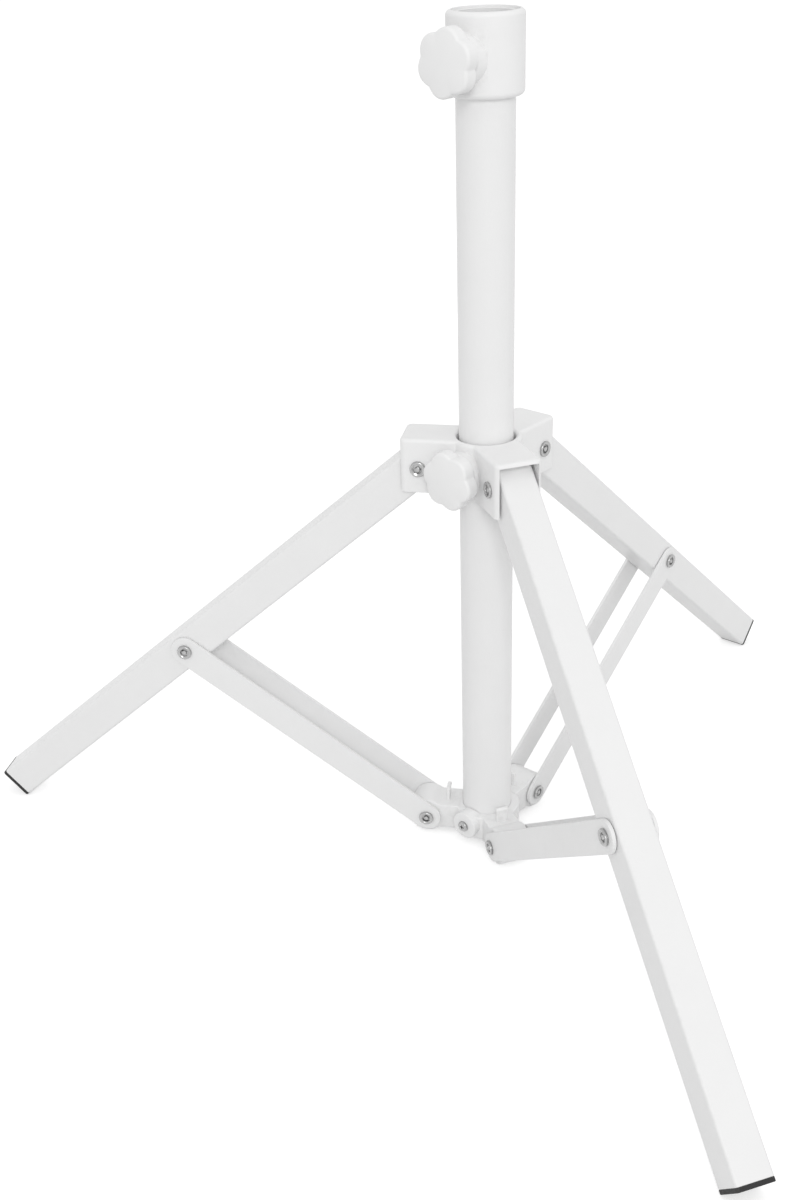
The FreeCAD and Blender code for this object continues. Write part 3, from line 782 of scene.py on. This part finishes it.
def make_brace(side, name):
    """One flat brace with round ends and softened edges."""
    place = brace_place(side)
    node = f"brace_{side}_{name}"
    low, high = local_box(node, place)
    radius = high.z
    flat = place @ Matrix.Rotation(math.radians(90), 4, "X")
    levels = list(reversed(lip(BRACE_LIP, -high.y, -1))) + lip(BRACE_LIP, -low.y, 1)

    def outline(inset):
        return slot_outline(low.x + radius, high.x - radius, radius - inset)

    mesh = prism(f"{node}_strip", outline, levels, flat)
    finished(f"{node}_strip", mesh, f"brace_{side}", [node], "white_powder_coat")


# ---------------------------------------------------------------- collar and hubs

def clamp_boss(clamp):
    """The round boss under a knob, from inside the wall to the threaded insert's face."""
    face = local_box(f"{clamp}_insert", knob_place(clamp))[1].z
    return rod(BOSS_RADIUS, BOSS_START, face, knob_place(clamp), BOSS_LIP)


def clamp_holes(clamp):
    """What is cut from a boss: the insert's seat and the screw's hole."""
    place = knob_place(clamp)
    low, high = local_box(f"{clamp}_insert", place)
    seat = hole(high.x, low.z, high.z + CUT_PAST, place)
    return [seat, hole(SCREW_HOLE, CUT_PAST, low.z + CUT_PAST, place)]


def make_collar():
    """The clamp collar, with a rolled top rim, a recessed mouth and the boss for its knob."""
    place = upright_place()
    low, high = local_box("top_collar", place)
    radius = high.y
    bore = bore_of("top_collar", place)
    foot_lip = reversed(lip(COLLAR_FOOT_LIP, low.z, -1, FINE_STEPS))
    foot = [(radius - inset, height) for height, inset in foot_lip]
    rim = [(radius - inset, height) for height, inset in lip(COLLAR_TOP_LIP, high.z, 1, FINE_STEPS)]
    body = turned("collar_body", [(0, low.z), *foot, *rim, (0, high.z)], place)
    floor = high.z - COLLAR_MOUTH_DEPTH
    edge = [(COLLAR_MOUTH + inset, height) for height, inset in lip(COLLAR_MOUTH_LIP, high.z, 1)]
    inside = [(0, low.z - CUT_PAST), (bore, low.z - CUT_PAST), (bore, floor), (COLLAR_MOUTH, floor)]
    above = [(edge[-1][0], high.z + CUT_PAST), (0, high.z + CUT_PAST)]
    mouth = cutter(inside + edge + above, place)
    mesh = combined("collar", body, [clamp_boss("top")], [mouth, *clamp_holes("top")])
    finished("collar", mesh, "mast", ["top_collar"], "white_plastic")


def star_outline(inset, ring, half, reach):
    """The sliding hub seen from above: a ring, three round-cornered arms and soft inner corners.

    ring is its radius, half is half an arm's width and reach is how far an arm goes from the axis.
    """
    blend_x = math.sqrt((ring + HUB_BLEND) ** 2 - (half + HUB_BLEND) ** 2)
    swing = math.degrees(math.atan2(half + HUB_BLEND, blend_x))
    corner = (reach - HUB_CORNER, half - HUB_CORNER)
    points = []
    for heading in ARM_HEADINGS:
        arm = arc((blend_x, -half - HUB_BLEND), HUB_BLEND + inset, 180 - swing, 90, ROUND_STEPS)
        arm += arc((corner[0], -corner[1]), HUB_CORNER - inset, -90, 0, 2 * ROUND_STEPS)
        arm += arc(corner, HUB_CORNER - inset, 0, 90, 2 * ROUND_STEPS)
        arm += arc((blend_x, half + HUB_BLEND), HUB_BLEND + inset, -90, swing - 180, ROUND_STEPS)
        arm += arc((0, 0), ring - inset, swing, 120 - swing, 4 * ROUND_STEPS)[1:-1]
        turn = math.radians(heading)
        points += [
            (x * math.cos(turn) - y * math.sin(turn), x * math.sin(turn) + y * math.cos(turn)) for x, y in arm
        ]
    return points


def slot_cutter(side, bottom, top, half, ring, reach):
    """The channel of one arm, open below and outwards, with a soft lip at its outer end."""
    place = frame_at(axis, outward(side), across(side))
    sections = [(ring, 0.0), (reach - SLOT_LIP, 0.0)]
    rim = [(reach - inset, SLOT_LIP - height) for height, inset in lip(SLOT_LIP, SLOT_LIP, 1)]
    sections += rim[:0:-1]
    sections.append((reach + SLOT_PAST, SLOT_LIP))
    loops = []
    for x, flare in sections:
        wide = half + flare
        loops.append([(x, -wide, bottom), (x, wide, bottom), (x, wide, top + flare), (x, -wide, top + flare)])
    work = bmesh.new()
    add_loops(work, loops)
    return closed_mesh("slot", work, place)


def make_sliding_hub():
    """The upper hub: a loose ring, three hollow arms with rounded tops, and the boss for its knob."""
    place = upright_place()
    low, high = local_box("upper_hub", place)
    arm_frame = frame_at(axis, outward("front"), across("front"))
    arm_points = [point for point in local_points("upper_hub", arm_frame) if point.x > ARM_BEYOND]
    arm_high = box_of(arm_points)[1]
    bore = bore_of("upper_hub", place)
    ring = bore + HUB_WALL
    levels = list(reversed(lip(HUB_FOOT_LIP, low.z, -1))) + lip(HUB_TOP_LIP, high.z, 1, FINE_STEPS)
    body = prism("hub_body", lambda inset: star_outline(inset, ring, arm_high.y, arm_high.x), levels, place)
    half = arm_high.y - HUB_CHEEK
    slots = [
        slot_cutter(side, low.z - SLOT_PAST, high.z - HUB_PLATE, half, ring, arm_high.x) for side in SIDES
    ]
    mouth = [(bore + inset, height) for height, inset in lip(HUB_MOUTH_LIP, high.z, 1)]
    above = [(mouth[-1][0], high.z + CUT_PAST), (0, high.z + CUT_PAST)]
    middle = cutter([(0, low.z - CUT_PAST), (bore, low.z - CUT_PAST), *mouth, *above], place)
    mesh = combined("sliding_hub", body, [clamp_boss("hub")], [*slots, middle, *clamp_holes("hub")])
    finished("sliding_hub", mesh, "upper_hub", ["upper_hub"], "white_plastic")


def tongue_outline(inset, reach):
    """The side view of one tongue, its pivot at (reach, 0): a bar that swells into a round end."""
    rise = TONGUE_HALF + TONGUE_BLEND
    back = math.sqrt((TONGUE_RADIUS + TONGUE_BLEND) ** 2 - rise ** 2)
    swing = math.degrees(math.atan2(rise, -back))
    blend = TONGUE_BLEND + inset
    lower = arc((reach - back, -rise), blend, 90, 180 - swing, ROUND_STEPS)
    end = arc((reach, 0), TONGUE_RADIUS - inset, -swing, swing, 8 * ROUND_STEPS)
    upper = arc((reach - back, rise), blend, swing - 180, -90, ROUND_STEPS)
    half = TONGUE_HALF - inset
    return [(TONGUE_START, -half)] + lower + end[1:-1] + upper + [(TONGUE_START, half)]


def tab_outline(inset, foot, crest):
    """The side view of one tab: a thin upright strip with a round bead along its top."""
    half = TAB_THICK / 2 - inset
    bead = TAB_BEAD - inset
    swing = math.degrees(math.acos(half / bead))
    head = arc((TAB_REACH, crest), bead, -swing, 180 + swing, 4 * ROUND_STEPS)
    return [(TAB_REACH - half, foot), (TAB_REACH + half, foot)] + head


def make_lower_hub():
    """The fixed hub: a cup under the tube, three tongues for the braces, three tabs and a screw lug."""
    place = upright_place()
    low, high = local_box("lower_hub", place)
    pivot = joint_place("fold_left")
    reach = (Vector((pivot.x, pivot.y, 0)) - axis).length
    seat = local_box("main_tube", place)[1].x + CUP_FIT
    top = pivot.z + TONGUE_HALF - CUP_STEP
    bottom = pivot.z - TONGUE_HALF + CUP_STEP
    outer = seat + CUP_WALL
    foot = [(outer - inset, height) for height, inset in reversed(lip(CUP_LIP, bottom, -1))]
    rim = [(outer - inset, height) for height, inset in lip(CUP_LIP, top, 1)]
    cup = turned("cup", [(0, bottom), *foot, *rim, (0, top)], place)
    leg_low, leg_high = local_box("leg_left", leg_place("left"))
    crest = high.z - TAB_BEAD - pivot.z
    added = []
    for side in SIDES:
        arm = frame_at(axis + Vector((0, 0, pivot.z)), outward(side), across(side))
        flat = arm @ Matrix.Rotation(math.radians(90), 4, "X")
        levels = list(reversed(lip(TONGUE_LIP, leg_low.y, -1))) + lip(TONGUE_LIP, leg_high.y, 1)
        added.append(prism("tongue", lambda inset: tongue_outline(inset, reach), levels, flat))
        tab_levels = list(reversed(lip(TAB_LIP, -TAB_WIDTH / 2, -1))) + lip(TAB_LIP, TAB_WIDTH / 2, 1)
        added.append(prism("tab", lambda inset: tab_outline(inset, 0.0, crest), tab_levels, flat))
    screw = screw_place()
    added.append(rod(LUG_RADIUS, BOSS_START, screw_seat(), screw, LUG_LIP))
    floor = bottom + CUP_FLOOR
    inside = [(0, low.z - CUT_PAST), (CUP_HOLE, low.z - CUT_PAST), (CUP_HOLE, floor), (seat, floor)]
    mouth = [(seat + inset, height) for height, inset in lip(CUP_MOUTH_LIP, top, 1)]
    above = [(mouth[-1][0], high.z + CUT_PAST), (0, high.z + CUT_PAST)]
    hollow = cutter(inside + mouth + above, place)
    mesh = combined("lower_hub_casting", cup, added, [hollow])
    finished("lower_hub_casting", mesh, "mast", ["lower_hub"], "white_plastic")


# ---------------------------------------------------------------- knobs

def lobed(radius, angle, clamp):
    """The radius of a knob's rim at an angle: broad round lobes with narrow soft notches between."""
    turn = KNOB_LOBES / 2 * (angle - math.radians(KNOB_TURN[clamp]))
    crest = math.sqrt((math.cos(turn) ** 2 + KNOB_NOTCH_SOFTNESS) / (1 + KNOB_NOTCH_SOFTNESS))
    return radius * (1 - KNOB_NOTCH * (1 - crest))


def make_knob(clamp):
    """A star knob: neck, lobed rim with soft edges and a gently domed face."""
    node = f"{clamp}_knob"
    place = knob_place(clamp)
    points = local_points(node, place)
    low, high = box_of(points)
    tip = max(math.hypot(point.x, point.y) for point in points)
    back = low.z + KNOB_NECK_LENGTH
    edge = tip - KNOB_FACE_LIP
    rim = high.z - edge ** 2 / (2 * KNOB_DOME)
    # Each loop is a height, a radius and how much of the lobes it shows.
    loops = [(low.z, KNOB_NECK - KNOB_NECK_LIP, 0.0), (low.z + KNOB_NECK_LIP, KNOB_NECK, 0.0)]
    loops += [(back, KNOB_NECK, 0.0), (back, (KNOB_NECK + tip) / 2, KNOB_BACK_LOBING)]
    back_lip = reversed(lip(KNOB_BACK_LIP, back, -1, SOFT_STEPS))
    loops += [(height, tip - inset, 1.0) for height, inset in back_lip]
    loops += [(height, tip - inset, 1.0) for height, inset in lip(KNOB_FACE_LIP, rim, 1, FINE_STEPS)]
    for step in range(1, KNOB_FACE_RINGS):
        share = 1 - step / KNOB_FACE_RINGS
        loops.append((high.z - (edge * share) ** 2 / (2 * KNOB_DOME), edge * share, share))
    work = bmesh.new()
    outlines = []
    for height, radius, lobing in loops:
        outline = []
        for step in range(2 * RIM_SEGMENTS):
            angle = math.pi * step / RIM_SEGMENTS
            reach = radius + (lobed(radius, angle, clamp) - radius) * lobing
            outline.append((reach * math.cos(angle), reach * math.sin(angle), height))
        outlines.append(outline)
    add_loops(work, outlines)
    mesh = closed_mesh(f"{clamp}_star_knob", work, place)
    finished(f"{clamp}_star_knob", mesh, f"{clamp}_knob", [node], "white_plastic")


# ---------------------------------------------------------------- rivets and screw

def rivet_tree():
    """Puts a head at each end of every pin: points with an along direction become whole rivets."""
    tree = bpy.data.node_groups.new("RolledRivets", "GeometryNodeTree")
    face = tree.interface
    face.new_socket("Pins", in_out="INPUT", socket_type="NodeSocketGeometry")
    face.new_socket("Head", in_out="INPUT", socket_type="NodeSocketObject")
    face.new_socket("Seat Distance", in_out="INPUT", socket_type="NodeSocketFloat")
    face.new_socket("Shank Radius", in_out="INPUT", socket_type="NodeSocketFloat")
    face.new_socket("Finish", in_out="INPUT", socket_type="NodeSocketMaterial")
    face.new_socket("Rivets", in_out="OUTPUT", socket_type="NodeSocketGeometry")
    new, link = tree.nodes.new, tree.links.new
    source = new("NodeGroupInput")
    sink = new("NodeGroupOutput")
    along = new("GeometryNodeInputNamedAttribute")
    along.data_type = "FLOAT_VECTOR"
    along.inputs["Name"].default_value = "along"
    head = new("GeometryNodeObjectInfo")
    link(source.outputs["Head"], head.inputs["Object"])
    joined = new("GeometryNodeJoinGeometry")
    for sign in (1.0, -1.0):
        facing = new("ShaderNodeVectorMath")
        facing.operation = "SCALE"
        facing.inputs["Scale"].default_value = sign
        link(along.outputs["Attribute"], facing.inputs[0])
        offset = new("ShaderNodeVectorMath")
        offset.operation = "SCALE"
        link(facing.outputs["Vector"], offset.inputs[0])
        link(source.outputs["Seat Distance"], offset.inputs["Scale"])
        moved = new("GeometryNodeSetPosition")
        link(source.outputs["Pins"], moved.inputs["Geometry"])
        link(offset.outputs["Vector"], moved.inputs["Offset"])
        turn = new("FunctionNodeAlignRotationToVector")
        turn.axis = "Z"
        link(facing.outputs["Vector"], turn.inputs["Vector"])
        heads = new("GeometryNodeInstanceOnPoints")
        link(moved.outputs["Geometry"], heads.inputs["Points"])
        link(head.outputs["Geometry"], heads.inputs["Instance"])
        link(turn.outputs["Rotation"], heads.inputs["Rotation"])
        link(heads.outputs["Instances"], joined.inputs["Geometry"])
    shank = new("GeometryNodeMeshCylinder")
    shank.inputs["Vertices"].default_value = RIVET_SEGMENTS
    length = new("ShaderNodeMath")
    length.operation = "MULTIPLY"
    length.inputs[1].default_value = 2.0
    link(source.outputs["Seat Distance"], length.inputs[0])
    link(source.outputs["Shank Radius"], shank.inputs["Radius"])
    link(length.outputs[0], shank.inputs["Depth"])
    lying = new("FunctionNodeAlignRotationToVector")
    lying.axis = "Z"
    link(along.outputs["Attribute"], lying.inputs["Vector"])
    shanks = new("GeometryNodeInstanceOnPoints")
    link(source.outputs["Pins"], shanks.inputs["Points"])
    link(shank.outputs["Mesh"], shanks.inputs["Instance"])
    link(lying.outputs["Rotation"], shanks.inputs["Rotation"])
    link(shanks.outputs["Instances"], joined.inputs["Geometry"])
    real = new("GeometryNodeRealizeInstances")
    link(joined.outputs["Geometry"], real.inputs["Geometry"])
    painted = new("GeometryNodeSetMaterial")
    link(real.outputs["Geometry"], painted.inputs["Geometry"])
    link(source.outputs["Finish"], painted.inputs["Material"])
    link(painted.outputs["Geometry"], sink.inputs["Rivets"])
    return tree


def rivet_head(radius, height):
    """One rolled head about Z, standing on Z = 0: a rolled rim, a deep dish and a pip in the middle."""
    roll = height * RIVET_ROLL
    dish = RIVET_DISH[0] * radius
    profile = [(0, 0), (radius - RIVET_EDGE, 0), (radius, RIVET_EDGE)]
    profile += arc((radius - roll, height - roll), roll, 0, RIVET_ROLL_SWEEP, FINE_STEPS)
    profile += [(dish, RIVET_DISH[1] * height), (dish - RIVET_EDGE, RIVET_FLOOR * height)]
    profile += [(wide * radius, tall * height) for wide, tall in RIVET_PIP]
    return turned("rivet_head", profile, Matrix.Identity(4), segments=RIVET_SEGMENTS)


def make_rivets(name, node, body, pins):
    """The rivets of one node, at pins given as places whose Z runs along the pin."""
    near = [point for point in local_points(node, pins[0]) if math.hypot(point.x, point.y) < RIVET_REACH]
    high = box_of(near)[1]
    points = bpy.data.meshes.new(f"{name}_pins")
    points.from_pydata([pin.translation for pin in pins], [], [])
    along = points.attributes.new("along", "FLOAT_VECTOR", "POINT")
    for index, pin in enumerate(pins):
        along.data[index].vector = pin.col[2].to_3d()
    holder = held(points)
    head = held(rivet_head(high.x, RIVET_HEAD))
    modifier = holder.modifiers.new("rivets", "NODES")
    modifier.node_group = rivets
    values = {
        "Head": head, "Seat Distance": high.z - RIVET_HEAD, "Shank Radius": RIVET_SHANK,
        "Finish": finishes["zinc_steel"],
    }
    for item in rivets.interface.items_tree:
        if item.in_out == "INPUT" and item.name in values:
            modifier[item.identifier] = values[item.name]
    mesh = evaluated(holder, name)
    bpy.data.objects.remove(head)
    finished(name, mesh, body, [node], "zinc_steel")


def screw_place():
    """Origin on the tube's axis at the fixing screw's height, Z out along the screw."""
    low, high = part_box("lower_hub_screw")
    place = knob_place("hub")
    place.translation = (axis.x, axis.y, (low[2] + high[2]) / 2)
    return place


def screw_seat():
    """How far from the tube's axis the fixing screw's head rests on its lug."""
    return local_box("lower_hub_screw", screw_place())[1].z - SCREW_HEAD


def make_fixing_screw():
    """The pan-head screw of the lower hub, with a cross recess."""
    place = screw_place()
    low, high = local_box("lower_hub_screw", place)
    crown_lip = lip(SCREW_CROWN_LIP, high.z - SCREW_CROWN_FLAT, 1, SOFT_STEPS)
    crown = [(high.x - inset, height) for height, inset in crown_lip]
    shank = [(0, low.z), (SCREW_SHANK, low.z), (SCREW_SHANK, screw_seat()), (high.x, screw_seat())]
    head = turned("screw_body", shank + crown + [(0, high.z)], place, segments=SCREW_SEGMENTS)
    recess = []
    for wide, long in ((RECESS_WIDTH, RECESS_LENGTH), (RECESS_LENGTH, RECESS_WIDTH)):
        work = bmesh.new()
        corners = [(-wide / 2, -long / 2), (wide / 2, -long / 2), (wide / 2, long / 2), (-wide / 2, long / 2)]
        loops = []
        for height, taper in RECESS_LEVELS:
            loops.append([(x * taper, y * taper, high.z + height) for x, y in corners])
        add_loops(work, loops)
        recess.append(closed_mesh("recess", work, place))
    mesh = combined("fixing_screw", head, [], recess)
    finished("fixing_screw", mesh, "mast", ["lower_hub_screw"], "zinc_steel")


def finish_hidden_nodes():
    """Give the small CAD pieces that stay as they are their own finishes."""
    for node, finish in (
        *((f"{clamp}_insert", "brass") for clamp in CLAMPS),
        *((f"{clamp}_clamp_screw", "zinc_steel") for clamp in CLAMPS),
        *((f"{clamp}_screw_tip", "nylon") for clamp in CLAMPS),
        *((f"leg_spacer_{side}", "nylon") for side in SIDES),
    ):
        mesh = frame["nodes"][node].data
        mesh.materials.clear()
        mesh.materials.append(finishes[finish])


make_tube()
make_collar()
make_sliding_hub()
make_lower_hub()
for side_name in SIDES:
    make_leg(side_name)
    make_foot(side_name)
    make_brace(side_name, "a")
    make_brace(side_name, "b")
for clamp_name in CLAMPS:
    make_knob(clamp_name)
rivets = rivet_tree()
upper_pins = [pin_place(hub_pivot(side), side) for side in SIDES]
make_rivets("upper_hub_rivets", "leg_pivot_rivets", "upper_hub", upper_pins)
lower_pins = [pin_place(joint_place(f"fold_{side}"), side) for side in SIDES]
make_rivets("lower_hub_rivets", "brace_hub_rivets", "mast", lower_pins)
for side_name in SIDES:
    make_rivets(
        f"leg_pin_rivet_{side_name}", f"brace_leg_rivet_{side_name}", f"leg_{side_name}",
        [pin_place(joint_place(f"leg_swing_{side_name}"), side_name)],
    )
make_fixing_screw()
finish_hidden_nodes()


# ---------------------------------------------------------------- floor, light and camera

def seen_directly(tree):
    """1 for the rays of the camera and of reflections, and 0 for those that light the stand."""
    rays = tree.nodes.new("ShaderNodeLightPath")
    return math_node(tree, "MAXIMUM", rays.outputs["Is Camera Ray"], rays.outputs["Is Glossy Ray"])


def make_floor():
    """A plain pale floor that looks white to the camera and keeps the stand's soft shadow."""
    work = bmesh.new()
    bmesh.ops.create_grid(work, x_segments=1, y_segments=1, size=FLOOR_HALF_SIZE)
    mesh = bpy.data.meshes.new("floor")
    work.to_mesh(mesh)
    work.free()
    floor = bpy.data.objects.new("floor", mesh)
    bpy.context.scene.collection.objects.link(floor)
    paint = bpy.data.materials.new("floor_paint")
    paint.use_nodes = True
    tree = paint.node_tree
    tree.nodes.clear()
    output = tree.nodes.new("ShaderNodeOutputMaterial")
    diffuse = tree.nodes.new("ShaderNodeBsdfDiffuse")
    diffuse.inputs["Color"].default_value = FLOOR_COLOUR
    glow = tree.nodes.new("ShaderNodeEmission")
    tree.links.new(math_node(tree, "MULTIPLY", seen_directly(tree), FLOOR_GLOW), glow.inputs["Strength"])
    both = tree.nodes.new("ShaderNodeAddShader")
    tree.links.new(diffuse.outputs[0], both.inputs[0])
    tree.links.new(glow.outputs[0], both.inputs[1])
    tree.links.new(both.outputs[0], output.inputs["Surface"])
    mesh.materials.append(paint)


def make_world():
    """Even studio fill, white to the camera and in reflections."""
    world = bpy.data.worlds.new("studio")
    world.use_nodes = True
    tree = world.node_tree
    background = tree.nodes["Background"]
    background.inputs["Color"].default_value = (1, 1, 1, 1)
    strength = spread_value(tree, seen_directly(tree), WORLD_LIGHT, WORLD_SEEN)
    tree.links.new(strength, background.inputs["Strength"])
    bpy.context.scene.world = world


def area_light(name, place, size, power):
    """A soft square lamp aimed at the middle of the stand."""
    lamp = bpy.data.lights.new(name, "AREA")
    lamp.size = size
    lamp.energy = power
    holder = bpy.data.objects.new(name, lamp)
    holder.location = place
    holder.rotation_mode = "QUATERNION"
    holder.rotation_quaternion = (Vector(LAMP_TARGET) - Vector(place)).to_track_quat("-Z", "Y")
    bpy.context.scene.collection.objects.link(holder)


def make_lights():
    """A broad key from the front left and a weak one from the right."""
    for name, (place, size, power) in LAMPS.items():
        area_light(name, place, size, power)


def make_camera():
    """The camera, a little above the collar and looking down at the feet."""
    lens = bpy.data.cameras.new("camera")
    lens.sensor_width = CAMERA_SENSOR
    lens.lens = CAMERA_LENS
    lens.shift_x, lens.shift_y = CAMERA_SHIFT
    holder = bpy.data.objects.new("camera", lens)
    heading = Matrix.Rotation(CAMERA_HEADING, 4, "Z")
    tilt = Matrix.Rotation(math.radians(90 - CAMERA_DOWN), 4, "X")
    roll = Matrix.Rotation(CAMERA_ROLL, 4, "Z")
    spot = axis + heading @ Vector(CAMERA_OFFSET)
    holder.matrix_world = Matrix.Translation(spot) @ heading @ tilt @ roll
    bpy.context.scene.collection.objects.link(holder)
    bpy.context.scene.camera = holder


make_floor()
make_world()
make_lights()
make_camera()
bpy.context.scene.view_settings.view_transform = "Standard"
